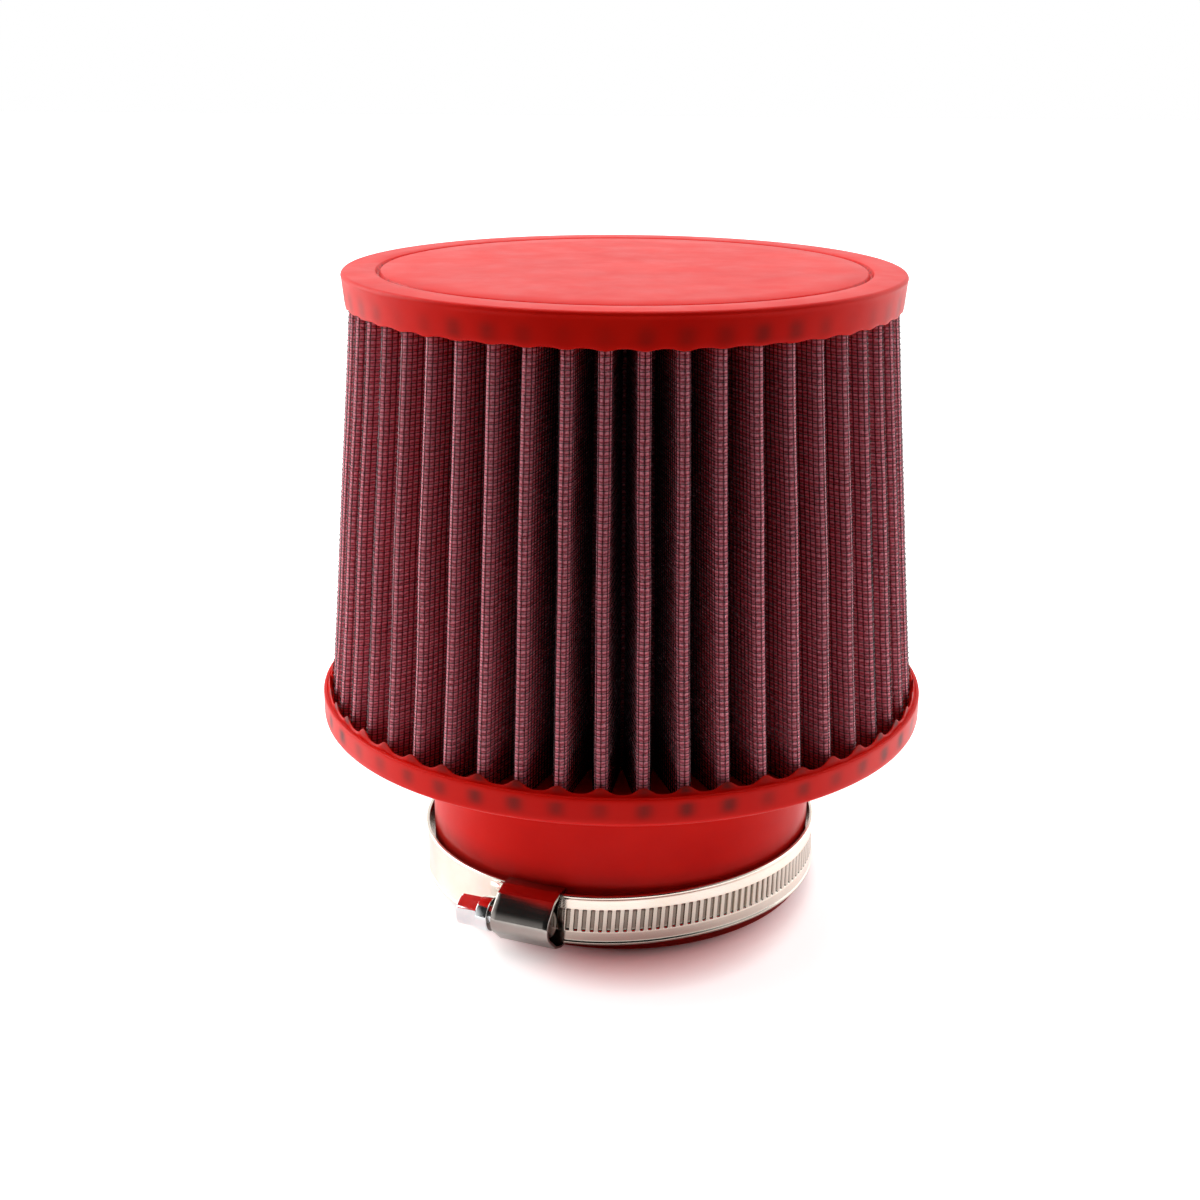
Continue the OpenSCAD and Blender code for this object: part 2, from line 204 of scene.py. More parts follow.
class Shader:
    """A material's nodes, with short calls for the few kinds that are used."""

    def __init__(self, name):
        self.material = bpy.data.materials.new(name)
        self.material.use_nodes = True
        self.nodes = self.material.node_tree.nodes
        self.links = self.material.node_tree.links
        self.surface = self.nodes["Principled BSDF"]

    def join(self, source, target):
        self.links.new(source, target)

    def constants(self, **values):
        for label, value in values.items():
            self.surface.inputs[label.replace("_", " ")].default_value = value

    def place(self):
        return self.nodes.new("ShaderNodeTexCoord").outputs["Object"]

    def attribute(self, name, output="Vector"):
        node = self.nodes.new("ShaderNodeAttribute")
        node.attribute_name = name
        return node.outputs[output]

    def scaled(self, vector, factors, shift=(0, 0, 0)):
        node = self.nodes.new("ShaderNodeVectorMath")
        node.operation = "MULTIPLY_ADD"
        self.join(vector, node.inputs[0])
        node.inputs[1].default_value = factors
        node.inputs[2].default_value = shift
        return node.outputs[0]

    def noise(self, vector, scale, detail=3.0, roughness=0.5):
        node = self.nodes.new("ShaderNodeTexNoise")
        self.join(vector, node.inputs["Vector"])
        node.inputs["Scale"].default_value = scale
        node.inputs["Detail"].default_value = detail
        node.inputs["Roughness"].default_value = roughness
        return node.outputs["Fac"]

    def split(self, vector):
        node = self.nodes.new("ShaderNodeSeparateXYZ")
        self.join(vector, node.inputs[0])
        return node.outputs

    def maths(self, operation, a, b=None, c=None):
        node = self.nodes.new("ShaderNodeMath")
        node.operation = operation
        for socket, value in zip(node.inputs, (a, b, c)):
            if value is None:
                continue
            if isinstance(value, (int, float)):
                socket.default_value = value
            else:
                self.join(value, socket)
        return node.outputs[0]

    def ramp(self, value, *stops):
        node = self.nodes.new("ShaderNodeValToRGB")
        elements = node.color_ramp.elements
        while len(elements) < len(stops):
            elements.new(0.5)
        for element, (at, colour) in zip(elements, stops):
            element.position = at
            element.color = (*colour, 1)
        self.join(value, node.inputs[0])
        return node.outputs["Color"]

    def span(self, value, from_low, from_high, to_low, to_high):
        node = self.nodes.new("ShaderNodeMapRange")
        self.join(value, node.inputs["Value"])
        for label, number in (
            ("From Min", from_low), ("From Max", from_high), ("To Min", to_low), ("To Max", to_high)
        ):
            node.inputs[label].default_value = number
        return node.outputs["Result"]

    def mix(self, factor, a, b):
        node = self.nodes.new("ShaderNodeMix")
        node.data_type = "RGBA"
        for socket, value in ((node.inputs["Factor"], factor), (node.inputs[6], a), (node.inputs[7], b)):
            if isinstance(value, tuple):
                socket.default_value = (*value, 1)
            elif isinstance(value, (int, float)):
                socket.default_value = value
            else:
                self.join(value, socket)
        return node.outputs[2]

    def bump(self, height, distance, strength=1.0, normal=None):
        node = self.nodes.new("ShaderNodeBump")
        node.inputs["Distance"].default_value = distance
        node.inputs["Strength"].default_value = strength
        self.join(height, node.inputs["Height"])
        if normal is not None:
            self.join(normal, node.inputs["Normal"])
        return node.outputs["Normal"]

    def set(self, label, value):
        self.join(value, self.surface.inputs[label])


def polyurethane():
    """Moulded red polyurethane: satin, a little cloudy, and darker where pleat ends lie behind it, with
    painted shade on the neck above the band and in the cap's groove.
    """
    s = Shader("red_polyurethane")
    here = s.place()
    cloud = s.noise(here, 55, detail=4, roughness=0.55)
    red = s.ramp(cloud, (0.3, (0.72, 0.006, 0.003)), (0.7, (0.80, 0.010, 0.004)))
    # Darker where pleat ends show through, and painted shade above the band and along the groove
    behind = s.attribute("pleat_behind", "Fac")
    patchy = s.maths("MULTIPLY", behind, s.span(s.noise(here, 240, detail=2), 0.3, 0.7, 0.75, 1.0))
    s.set("Base Color", s.mix(patchy, red, (0.10, 0.014, 0.012)))
    s.set("Roughness", s.span(s.noise(here, 120, detail=3), 0.3, 0.7, 0.3, 0.38))
    skin = s.bump(s.noise(here, 160, detail=3), 0.0002, 0.2)
    s.set("Normal", s.bump(s.noise(here, 2600, detail=2), 0.00004, 0.3, skin))
    s.constants(IOR=1.45, Specular_IOR_Level=0.1)
    s.constants(Subsurface_Weight=0.12, Subsurface_Scale=0.003)
    s.constants(Subsurface_Radius=(1.0, 0.12, 0.08))
    return s.material


def gauze():
    """Oiled cotton gauze: a plain weave that swells a little inside each cell of the wire grid, with
    painted highlights on thread tops, cell bulges and ridges, and painted shade into the valleys.
    """
    s = Shader("cotton_gauze")
    here = s.place()
    sheet = s.attribute("sheet")
    u, v, depth = s.split(sheet)
    sway = s.maths("MULTIPLY_ADD", s.noise(here, 420, detail=2), 0.5, -0.25)
    u = s.maths("ADD", u, sway)
    v = s.maths("SUBTRACT", v, sway)
    swell_u = s.maths("SINE", s.maths("MULTIPLY", u, math.pi))
    swell_v = s.maths("SINE", s.maths("MULTIPLY", v, math.pi))
    swell = s.maths("ABSOLUTE", s.maths("MULTIPLY", swell_u, swell_v))
    warp = s.maths("ABSOLUTE", s.maths("SINE", s.maths("MULTIPLY", u, 2 * math.pi)))
    weft = s.maths("ABSOLUTE", s.maths("SINE", s.maths("MULTIPLY", v, 2 * math.pi)))
    weave = s.maths("MULTIPLY", s.maths("POWER", warp, 0.6), s.maths("POWER", weft, 0.6))
    lint = s.noise(here, 1500, detail=3, roughness=0.65)
    thread = s.maths("MULTIPLY_ADD", weave, 0.55, s.maths("MULTIPLY", lint, 0.45))
    # Weave pattern and cell bulges, whose high values the ramp turns pale pink: painted highlights
    weave_and_highlights = s.maths("MULTIPLY_ADD", thread, 0.5, s.maths("MULTIPLY", swell, 0.5))
    colour = s.ramp(
        weave_and_highlights,
        (0.12, (0.22, 0.006, 0.016)),
        (0.32, (0.72, 0.030, 0.065)),
        (0.55, (0.98, 0.13, 0.19)),
        (0.78, (1.0, 0.50, 0.56)),
    )
    # Painted highlight: the ridges are lightened towards pink
    crest = s.span(depth, 0.0, 0.3, 0.65, 0.0)
    painted_crest_highlight = s.maths("MULTIPLY", crest, s.span(weave_and_highlights, 0.2, 0.6, 0.3, 1.0))
    colour = s.mix(painted_crest_highlight, colour, (1.0, 0.32, 0.40))
    stain = s.span(s.noise(here, 45, detail=3), 0.3, 0.7, 0.0, 0.15)
    # The darker of a random stain and painted shade that deepens from the ridges into the valleys
    stain_and_valley_shade = s.maths("MAXIMUM", stain, s.span(depth, 0.05, 0.9, 0.0, 0.75))
    s.set("Base Color", s.mix(stain_and_valley_shade, colour, (0.12, 0.008, 0.012)))
    s.set("Roughness", s.span(lint, 0.3, 0.7, 0.5, 0.75))
    cushion = s.bump(swell, 0.00022, 0.8)
    s.set("Normal", s.bump(thread, 0.00012, 0.9, cushion))
    s.constants(IOR=1.45, Sheen_Weight=0.15, Sheen_Roughness=0.4)
    s.constants(Subsurface_Weight=0.4, Subsurface_Scale=0.0016)
    s.constants(Subsurface_Radius=(1.0, 0.35, 0.4))
    return s.material


def coated_wire():
    """Black epoxy coating on the wires, uneven and faintly glossy."""
    s = Shader("coated_wire")
    here = s.place()
    patches = s.noise(here, 700, detail=3)
    s.set("Base Color", s.ramp(patches, (0.3, (0.010, 0.005, 0.006)), (0.75, (0.050, 0.020, 0.024))))
    s.set("Roughness", s.span(patches, 0.3, 0.7, 0.16, 0.34))
    s.set("Normal", s.bump(s.noise(here, 4000, detail=2), 0.00004, 0.5))
    s.constants(IOR=1.5, Specular_IOR_Level=0.5)
    return s.material


def band_steel():
    """Rolled stainless strip: fine lines along its length and a soft stain here and there."""
    s = Shader("band_steel")
    strip = s.attribute("strip")
    lines = s.noise(s.scaled(strip, (0.05, 7.0, 1.0)), 1.0, detail=4, roughness=0.6)
    cloud = s.noise(s.place(), 90, detail=3)
    steel = s.ramp(cloud, (0.3, (0.84, 0.77, 0.66)), (0.7, (0.92, 0.87, 0.77)))
    # Painted shade in the slots and over the ribs, and a painted reflection of the floor's shadow on the
    # lower strip
    grime = s.attribute("grime", "Fac")
    s.set("Base Color", s.mix(grime, steel, (0.10, 0.075, 0.055)))
    s.set("Roughness", s.span(lines, 0.3, 0.7, 0.11, 0.22))
    s.set("Normal", s.bump(lines, 0.00002, 0.35))
    s.constants(Metallic=1.0)
    return s.material


def housing_steel():
    """Folded stainless sheet with a drawn grain along the screw."""
    s = Shader("housing_steel")
    strip = s.attribute("strip")
    lines = s.noise(s.scaled(strip, (0.12, 5.0, 5.0)), 1.0, detail=4, roughness=0.6)
    cloud = s.noise(s.place(), 120, detail=3)
    # Kept much darker than the band's steel: painted shade, for the dim reflections of the shadowed
    # floor
    s.set("Base Color", s.ramp(cloud, (0.3, (0.31, 0.28, 0.26)), (0.7, (0.41, 0.38, 0.35))))
    s.set("Roughness", s.span(lines, 0.3, 0.7, 0.11, 0.18))
    s.set("Normal", s.bump(lines, 0.00001, 0.15))
    s.constants(Metallic=1.0)
    return s.material


def zinc():
    """Bright zinc plating with the faint unevenness of a plated screw."""
    s = Shader("screw_zinc")
    here = s.place()
    cloud = s.noise(here, 350, detail=3)
    plating = s.ramp(cloud, (0.3, (0.74, 0.78, 0.80)), (0.7, (0.86, 0.89, 0.90)))
    oil = s.maths("MULTIPLY", s.attribute("oiled", "Fac"), s.span(cloud, 0.3, 0.7, 0.8, 0.95))
    s.set("Base Color", s.mix(oil, plating, (0.09, 0.07, 0.06)))
    s.set("Roughness", s.span(s.noise(here, 900, detail=3), 0.3, 0.7, 0.10, 0.22))
    s.set("Normal", s.bump(s.noise(here, 500, detail=2), 0.00003, 0.4))
    s.constants(Metallic=1.0)
    return s.material


RED = polyurethane()
GAUZE = gauze()
WIRE = coated_wire()
BAND = band_steel()
SHEET = housing_steel()
ZINC = zinc()


# Moulded ends


def turned(name, rows, columns, wave, behind, node, closed):
    """A turned piece: rows of (radius, height, share of the wave), with the wave added to z.

    behind gives how strongly the pleat ends show, and how much shade is painted, at (radius, height,
    angle).
    """
    angle = FIRST_RIDGE + np.arange(columns) * 2 * math.pi / columns
    table = np.array(rows, float)
    r = np.repeat(table[:, :1], columns, axis=1)
    z = table[:, 1:2] + table[:, 2:3] * wave(angle)[None, :]
    a = np.repeat(angle[None, :], len(table), axis=0)
    points = np.stack([r * np.cos(a), r * np.sin(a), z], axis=-1).reshape(-1, 3)
    shown = behind(r, z, a).ravel()
    faces = [grid(len(table), columns, wrap_rows=closed, wrap_columns=True)]
    if not closed:
        low, high = len(points), len(points) + 1
        points = np.vstack([points, [0, 0, table[0, 1]], [0, 0, table[-1, 1]]])
        shown = np.append(shown, [0, 0])
        last = (len(table) - 1) * columns + np.arange(columns)
        faces += [fan(low, np.arange(columns), flip=True), fan(high, last)]
    made = piece(name, points, faces, RED, attributes=[("pleat_behind", shown)])
    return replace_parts(made, node)


def base_rows():
    """The base's section, from the bore's lower edge up the outside and back down the bore."""
    edge, fillet, corner, lip, throat = 0.8, 1.5, 1.2, 0.4, 9
    rows = [(r, z, 0) for r, z in arc((BORE_R + 0.3, 0.3), 0.3, 180, 270, 3)]
    rows += [(r, z, 0) for r, z in arc((NECK_R - edge, edge), edge, -90, 0, 4)]
    rows += [(NECK_R, z, 0) for z in (7, 12, 14, 16, 18, 20, 22, 28, 36)]
    rows += [(r, z, 0) for r, z in arc((NECK_R + fillet, NECK_H - fillet), fillet, 180, 90, 4)]
    rows += [(62, NECK_H, 0)]
    rows += [(r, z, 0) for r, z in arc((FLANGE_R - corner, NECK_H + corner), corner, -90, 0, 4)]
    side = np.linspace(NECK_H + corner, RIM_Z - lip, 8)[1:-1]
    rows += [(FLANGE_R, z, 0) for z in side]
    rows += [(r, z, 0) for r, z in arc((FLANGE_R - lip, RIM_Z - lip), lip, 0, 90, 3)]
    foot = CHANNEL_R + 0.7
    rows += [(foot + 0.28, RIM_Z - 0.05, 0), (foot + 0.08, RIM_Z - 0.3, 0)]
    rows += [(foot - 0.05, RIM_Z - 0.28, 0.02)]
    for share in (0.25, 0.5, 0.75, 0.95):
        rows += [(foot - 0.05 - 0.32 * share, RIM_Z - 0.2 * (1 - share), share)]
    rows += [(CHANNEL_R + 0.28, RIM_Z + 0.04, 1), (CHANNEL_R + 0.1, RIM_Z, 1)]
    rows += [(CHANNEL_R - 0.05, RIM_Z - 0.1, 0.8), (CHANNEL_R - 0.3, RIM_Z - 0.2, 0.35)]
    rows += [(CHANNEL_R - 0.5, RIM_Z - 1.2, 0.1), (CHANNEL_R - 0.9, FILL_Z + 0.3, 0)]
    inner = 53.5
    rows += [(r, FILL_Z, 0) for r in (CHANNEL_R - 1.8, 66, 60, inner + 1.1)]
    rows += [(inner + 0.2, FILL_Z + 0.3, 0), (inner, RIM_Z - 0.4, 0), (inner - 0.6, RIM_Z, 0)]
    rows += [(r, z, 0) for r, z in arc((BORE_R + throat, RIM_Z - throat), throat, 90, 180, 8)]
    rows += [(BORE_R, z, 0) for z in (28, 14)]
    return rows


def collar_wave(angle):
    """Height of the collar over the rim: a rounded cusp at each ridge, a long dip between."""
    near = ridge_nearness(angle)
    own = 1 + 0.10 * wobble(angle, (3, 7, 11, 19, 23), 5)
    return COLLAR_LOW_H + (CUSP_H - COLLAR_LOW_H) * own * near**1.9


def base_ends_and_shade(r, z, a):
    """Pleat ends that show through the flange's side and the collar's cusps, and painted shade on the
    neck just above the band.
    """
    near = ridge_nearness(a) ** 2.5
    own = 0.85 + 0.22 * wobble(a, (5, 9, 14, 27, 31), 6)
    side = (r > FLANGE_R - 1.3) * smooth(z, RIM_Z - 5.6, RIM_Z - 3.2)
    side *= 1 - smooth(z, RIM_Z - 2.0, RIM_Z - 0.5)
    cusp = (np.abs(r - CHANNEL_R - 0.3) < 0.5) * smooth(z, RIM_Z, RIM_Z + 0.9)
    # Painted shade: the neck darkens towards the band's upper edge
    painted_shade_above_band = (np.abs(r - NECK_R) < 0.1) * (1 - smooth(z, 12.5, 22))
    return np.clip(near * own * (0.8 * side + 0.95 * cusp) + 0.75 * painted_shade_above_band, 0, 1)


def cap_rows():
    """The cap's section, from the middle underneath, round the skirt, to the middle on top."""
    edge, depth = 0.9, GROOVE_DEPTH
    inner = SKIRT_R - SKIRT_WALL
    rows = [(20, CAP_FILL_Z, 0), (44, CAP_FILL_Z, 0), (50, CAP_FILL_Z, 0), (60, CAP_FILL_Z, 0)]
    rows += [(inner - 0.9, CAP_FILL_Z - 0.05, 0.2), (inner - 0.1, CAP_FILL_Z - 0.35, 0.7)]
    rows += [(inner + 0.15, SKIRT_Z + 0.08, 1), (SKIRT_R - 0.25, SKIRT_Z, 1)]
    rows += [(SKIRT_R - 0.06, SKIRT_Z + 0.1, 1), (SKIRT_R, SKIRT_Z + 0.35, 0.9)]
    side = np.linspace(SKIRT_Z + 0.9, TOTAL_H - edge - 0.3, 8)
    for z in side:
        share = (z - SKIRT_Z) / (TOTAL_H - SKIRT_Z)
        rows += [(SKIRT_R + (CAP_R - SKIRT_R) * share, z, max(0.6 - share, 0))]
    rows += [(r, z, 0) for r, z in arc((CAP_R - edge, TOTAL_H - edge), edge, 0, 90, 7)]
    rows += [(GROOVE_R + 3.5, TOTAL_H, 0), (GROOVE_R + 0.95, TOTAL_H, 0)]
    rows += [(GROOVE_R + 0.66, TOTAL_H - 0.12, 0), (GROOVE_R + 0.38, TOTAL_H - 0.75 * depth, 0)]
    rows += [(GROOVE_R + 0.15, TOTAL_H - depth, 0), (GROOVE_R - 0.15, TOTAL_H - depth, 0)]
    rows += [(GROOVE_R - 0.4, TOTAL_H - 0.7 * depth, 0), (GROOVE_R - 0.68, TOTAL_H - 0.14, 0)]
    rows += [(GROOVE_R - 1.0, TOTAL_H, 0)]
    rows += [(r, TOTAL_H, 0) for r in (50, 40, 25, 10)]
    return rows


def skirt_wave(angle):
    """The skirt's lower edge dips a little at each ridge."""
    near = ridge_nearness(angle)
    return 0.2 - 0.38 * near**1.4 * (1 + 0.25 * wobble(angle, (2, 5, 8, 13, 21), 8))


def cap_ends_and_shade(r, z, a):
    """Pleat ends that show through the skirt, and a dark line along the groove's bottom: dust specks and
    painted shade.
    """
    near = ridge_nearness(a) ** 1.5
    own = 0.7 + 0.4 * wobble(a, (4, 7, 12, 17, 29), 9)
    side = (r > SKIRT_R - 0.1) * smooth(z, SKIRT_Z, SKIRT_Z + 1.5)
    side *= 1 - smooth(z, SKIRT_Z + 3.0, SKIRT_Z + 6.0)
    # The groove's bottom: specks of dust over painted shade
    groove = (np.abs(r - GROOVE_R) < 0.5) * (z < TOTAL_H - 0.6)
    groove_dust_and_shade = 0.3 + 0.25 * wobble(a, (9, 22, 41, 67, 90, 121), 31)
    return np.clip(0.5 * near * own * side + groove * groove_dust_and_shade, 0, 1)


MOULD_COLUMNS = 12 * PLEATS
turned("moulded_base", base_rows(), MOULD_COLUMNS, collar_wave, base_ends_and_shade, "base_mount", True)
turned("moulded_cap", cap_rows(), MOULD_COLUMNS, skirt_wave, cap_ends_and_shade, "top_cap", False)


# Pleated media


def turned_round(angle):
    """The same angle, brought between minus half a turn and half a turn."""
    return (angle + math.pi) % (2 * math.pi) - math.pi


# How far each fold strays from its even place: round the axis in radians, outwards in millimetres
RIDGE_SHIFT = rng.normal(size=(PLEATS, 3)) * np.array([0.0016, 0.0012, 0.0008])
VALLEY_SHIFT = rng.normal(size=(PLEATS, 2)) * np.array([0.0020, 0.0015])
RIDGE_OUT = rng.normal(size=(PLEATS, 2)) * 0.07 - 0.1


def outline(z, ridge_steps, flank_steps, valley_steps):
    """The media's outer face at heights z, all the way round, clockwise from the first ridge.

    Returns points and outward normals, shaped (heights, samples, 2), and each sample's depth:
    0 on a ridge and 1 in a valley.
    """
    z = np.atleast_1d(np.asarray(z, float))[:, None]
    k = np.arange(PLEATS)[None, :]
    share = (z - MEDIA_LOW[2]) / (MEDIA_HIGH[2] - MEDIA_LOW[2])
    bow = np.sin(math.pi * share)
    ridge_r = RIDGE_R_BASE + RIDGE_SLOPE * (z - MEDIA_LOW[2])
    depth = PLEAT_DEPTH_BASE + (PLEAT_DEPTH_TOP - PLEAT_DEPTH_BASE) * share
    valley_r = ridge_r - depth
    ridge_r = ridge_r + bow * (RIDGE_OUT[:, 0] + RIDGE_OUT[:, 1] * np.sin(9 * share))
    theta = FIRST_RIDGE - 2 * HALF_PITCH * k
    theta = theta + bow * (RIDGE_SHIFT[:, 0] + RIDGE_SHIFT[:, 1] * np.sin(5 * share))
    theta = theta + bow * RIDGE_SHIFT[:, 2] * np.sin(17 * share)
    psi = FIRST_RIDGE - 2 * HALF_PITCH * k - HALF_PITCH
    psi = psi + bow * (VALLEY_SHIFT[:, 0] + VALLEY_SHIFT[:, 1] * np.sin(6 * share))
    a = (ridge_r - FOLD_GAP - MEDIA_T)[..., None] * np.stack([np.cos(theta), np.sin(theta)], -1)
    b = (valley_r + FOLD_GAP)[..., None] * np.stack([np.cos(psi), np.sin(psi)], -1)
    reach = MEDIA_T + 2 * FOLD_GAP

    def flank(ridge_c, side):
        across = b - ridge_c
        lean = np.arccos(reach / np.linalg.norm(across, axis=-1))
        return np.arctan2(across[..., 1], across[..., 0]) + side * lean

    right = flank(a, 1)
    left = flank(np.roll(a, -1, axis=1), -1)
    ridge_from = turned_round(np.roll(left, 1, axis=1) - theta)
    ridge_to = turned_round(right - theta)
    valley_from = turned_round(right - psi)
    valley_to = turned_round(left - psi)
    samples = []
    for t in np.linspace(0, 1, ridge_steps + 1):
        phi = theta + ridge_from + (ridge_to - ridge_from) * t
        n = np.stack([np.cos(phi), np.sin(phi)], -1)
        samples.append((a + (FOLD_GAP + MEDIA_T) * n, n))
    ridge_end = samples[-1]
    valley = []
    for t in np.linspace(0, 1, valley_steps + 1):
        phi = psi + valley_from + (valley_to - valley_from) * t
        n = np.stack([np.cos(phi), np.sin(phi)], -1)
        valley.append((b - FOLD_GAP * n, n))
    next_ridge = (np.roll(samples[0][0], -1, axis=1), np.roll(samples[0][1], -1, axis=1))
    depths = [0.0] * (ridge_steps + 1)
    for t in np.linspace(0, 1, flank_steps + 1)[1:-1]:
        samples.append((ridge_end[0] + (valley[0][0] - ridge_end[0]) * t, ridge_end[1]))
        depths.append(t)
    samples += valley
    depths += [1.0] * (valley_steps + 1)
    for t in np.linspace(0, 1, flank_steps + 1)[1:-1]:
        samples.append((valley[-1][0] + (next_ridge[0] - valley[-1][0]) * t, valley[-1][1]))
        depths.append(1 - t)
    points = np.stack([p for p, _ in samples], axis=2)
    normals = np.stack([n for _, n in samples], axis=2)
    heights = len(z)
    return (
        points.reshape(heights, -1, 2),
        normals.reshape(heights, -1, 2),
        np.tile(np.array(depths), PLEATS),
    )


# The wire grid's cells, along the sheet and up it, and the wires, by their depth below the outline
WIRE_PITCH_U = 1.42
WIRE_PITCH_V = 1.35
WIRE_R = 0.075
ROUND_DEPTH = 0.07
UPRIGHT_DEPTH = ROUND_DEPTH + 2 * WIRE_R
INNER_ROUND_DEPTH = MEDIA_T - ROUND_DEPTH
INNER_UPRIGHT_DEPTH = MEDIA_T - UPRIGHT_DEPTH

# The gauze's outer and inner face, below the outline, and its ends, inside the meshes' ends
GAUZE_FACES = (0.30, 1.16)
GAUZE_END = 0.4


def cell_count(ridge_steps, flank_steps, valley_steps, face_depth=0.0):
    """Each sample's place along the sheet, counted in cells of the wire grid from the first ridge."""
    points, normals, _ = outline([MEDIA_LOW[2]], ridge_steps, flank_steps, valley_steps)
    line = points[0] - face_depth * normals[0]
    steps = np.linalg.norm(np.roll(line, -1, axis=0) - line, axis=1)
    along = np.concatenate([[0], np.cumsum(steps)])
    cells = round(along[-1] / PLEATS / WIRE_PITCH_U) * PLEATS
    # The first sample is where the first ridge's fold begins, so the count starts at its middle
    return (along - along[ridge_steps // 2]) / along[-1] * cells, cells


def sheet_piece():
    """The gauze as one closed pleated sheet, ends and all."""
    steps = (8, 3, 4)
    z = np.linspace(MEDIA_LOW[2] + GAUZE_END, MEDIA_HIGH[2] - GAUZE_END, 25)
    points, normals, depth = outline(z, *steps)
    count, _ = cell_count(*steps)
    columns = points.shape[1]
    faces, rings = [], []
    for face_depth in GAUZE_FACES:
        xy = points - face_depth * normals
        rings.append(np.concatenate([xy, np.broadcast_to(z[:, None, None], (*xy.shape[:2], 1))], -1))
    n = len(z) * columns
    outer = grid(len(z), columns, wrap_columns=True)
    faces.append(outer[:, ::-1])
    faces.append(outer + n)
    first = np.arange(columns)
    for row, turn in ((0, False), (len(z) - 1, True)):
        here = row * columns + first
        ahead = row * columns + (first + 1) % columns
        rim = np.stack([here, ahead, ahead + n, here + n], -1)
        faces.append(rim[:, ::-1] if turn else rim)
    u = np.broadcast_to(count[:-1][None, :], (len(z), columns))
    v = np.broadcast_to(((z - RIM_Z) / WIRE_PITCH_V)[:, None], (len(z), columns))
    d = np.broadcast_to(depth[None, :], (len(z), columns))
    sheet = np.stack([u, v, d], -1).reshape(-1, 3)
    made = piece(
        "gauze_sheet",
        np.concatenate([r.reshape(-1, 3) for r in rings]),
        faces,
        GAUZE,
        attributes=[("sheet", np.vstack([sheet, sheet]))],
        sharp=0,
    )
    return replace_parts(made, "gauze_media")


def tubes(centres, out, side, radius, sides, closed):
    """Tubes along many lines at once: centres, out and side are shaped (lines, steps, 3)."""
    lines, steps, _ = centres.shape
    turn = (np.arange(sides) + 0.5) * 2 * math.pi / sides
    ring = (
        centres[:, :, None, :]
        + radius * np.cos(turn)[None, None, :, None] * out[:, :, None, :]
        + radius * np.sin(turn)[None, None, :, None] * side[:, :, None, :]
    )
    one = grid(steps, sides, wrap_rows=closed, wrap_columns=True)
    offset = (np.arange(lines) * steps * sides)[:, None, None]
    faces = [(one[None] + offset).reshape(-1, 4)]
    if not closed:
        cap = np.arange(sides)[None, :] + offset[:, 0]
        faces += [cap[:, ::-1], cap + (steps - 1) * sides]
    return ring.reshape(-1, 3), faces


def upright(xy):
    """Plan vectors as vectors in space."""
    return np.concatenate([xy, np.zeros((*xy.shape[:-1], 1))], axis=-1)


def wires_round(name, z, depth, sides, steps, node):
    """Wires that run round the media at heights z, each following every pleat."""
    points, normals, _ = outline(z, *steps)
    centres = upright(points - depth * normals)
    angle = np.arctan2(points[..., 1], points[..., 0])
    local = np.random.default_rng(round(z[0] * 100))
    sag = np.zeros_like(angle)
    for n in (6, 17, 43):
        size = local.normal(size=(len(z), 1)) * 0.05
        sag += size * np.cos(n * angle + local.uniform(0, 2 * math.pi, size=(len(z), 1)))
    centres[..., 2] = np.asarray(z)[:, None] + sag
    up = np.zeros_like(centres)
    up[..., 2] = 1
    skin, faces = tubes(centres, upright(normals), up, WIRE_R, sides, closed=True)
    made = piece(name, skin, faces, WIRE, sharp=0)
    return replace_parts(made, node)


def wires_up(name, depth, sides, levels, steps, node):
    """Wires that run up the media, evenly spaced along the sheet."""
    z = np.linspace(FILL_Z - 0.1, SKIRT_Z + 1.2, levels)
    points, normals, _ = outline(z, *steps)
    count, cells = cell_count(*steps)
    closed_points = np.concatenate([points, points[:, :1]], axis=1)
    closed_normals = np.concatenate([normals, normals[:, :1]], axis=1)
    drift = wobble(np.arange(cells) * 2 * math.pi / cells, (9, 31, 77, 150), 21) * 0.06
    # Each wire runs between two whole cells, so at half counts
    at = np.arange(cells) + drift + count[0] + 0.5 - (count[0] + 0.5) % 1
    at = (at - count[0]) % cells + count[0]

    def along(values):
        return np.stack(
            [np.stack([np.interp(at, count, row[:, i]) for i in (0, 1)], -1) for row in values]
        )

    line = along(closed_points)
    out = along(closed_normals)
    out /= np.linalg.norm(out, axis=-1, keepdims=True)
    centres = upright(line - depth * out)
    centres[..., 2] = z[:, None]
    side = np.stack([-out[..., 1], out[..., 0]], -1)
    by_wire = (1, 0, 2)
    skin, faces = tubes(
        centres.transpose(by_wire), upright(out).transpose(by_wire), upright(side).transpose(by_wire),
        WIRE_R, sides, closed=False,
    )
    made = piece(name, skin, faces, WIRE, sharp=0)
    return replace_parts(made, node)


def wire_grids():
    """The outer and inner wire grids."""
    rows = np.arange(FILL_Z + 0.6, SKIRT_Z + 0.6, WIRE_PITCH_V)
    halves = np.array_split(rows, 2)
    coarse = (6, 1, 2)
    wires_round("outer_wires_low", halves[0], ROUND_DEPTH, 4, coarse, "outer_wire_mesh")
    wires_round("outer_wires_high", halves[1], ROUND_DEPTH, 4, coarse, "outer_wire_mesh")
    wires_up("outer_wires_upright", UPRIGHT_DEPTH, 4, 9, (12, 4, 4), "outer_wire_mesh")
    wires_round("inner_wires_round", rows, INNER_ROUND_DEPTH, 3, (3, 1, 2), "inner_wire_mesh")
    wires_up("inner_wires_upright", INNER_UPRIGHT_DEPTH, 3, 3, (8, 2, 4), "inner_wire_mesh")


sheet_piece()
wire_grids()


# Clamp

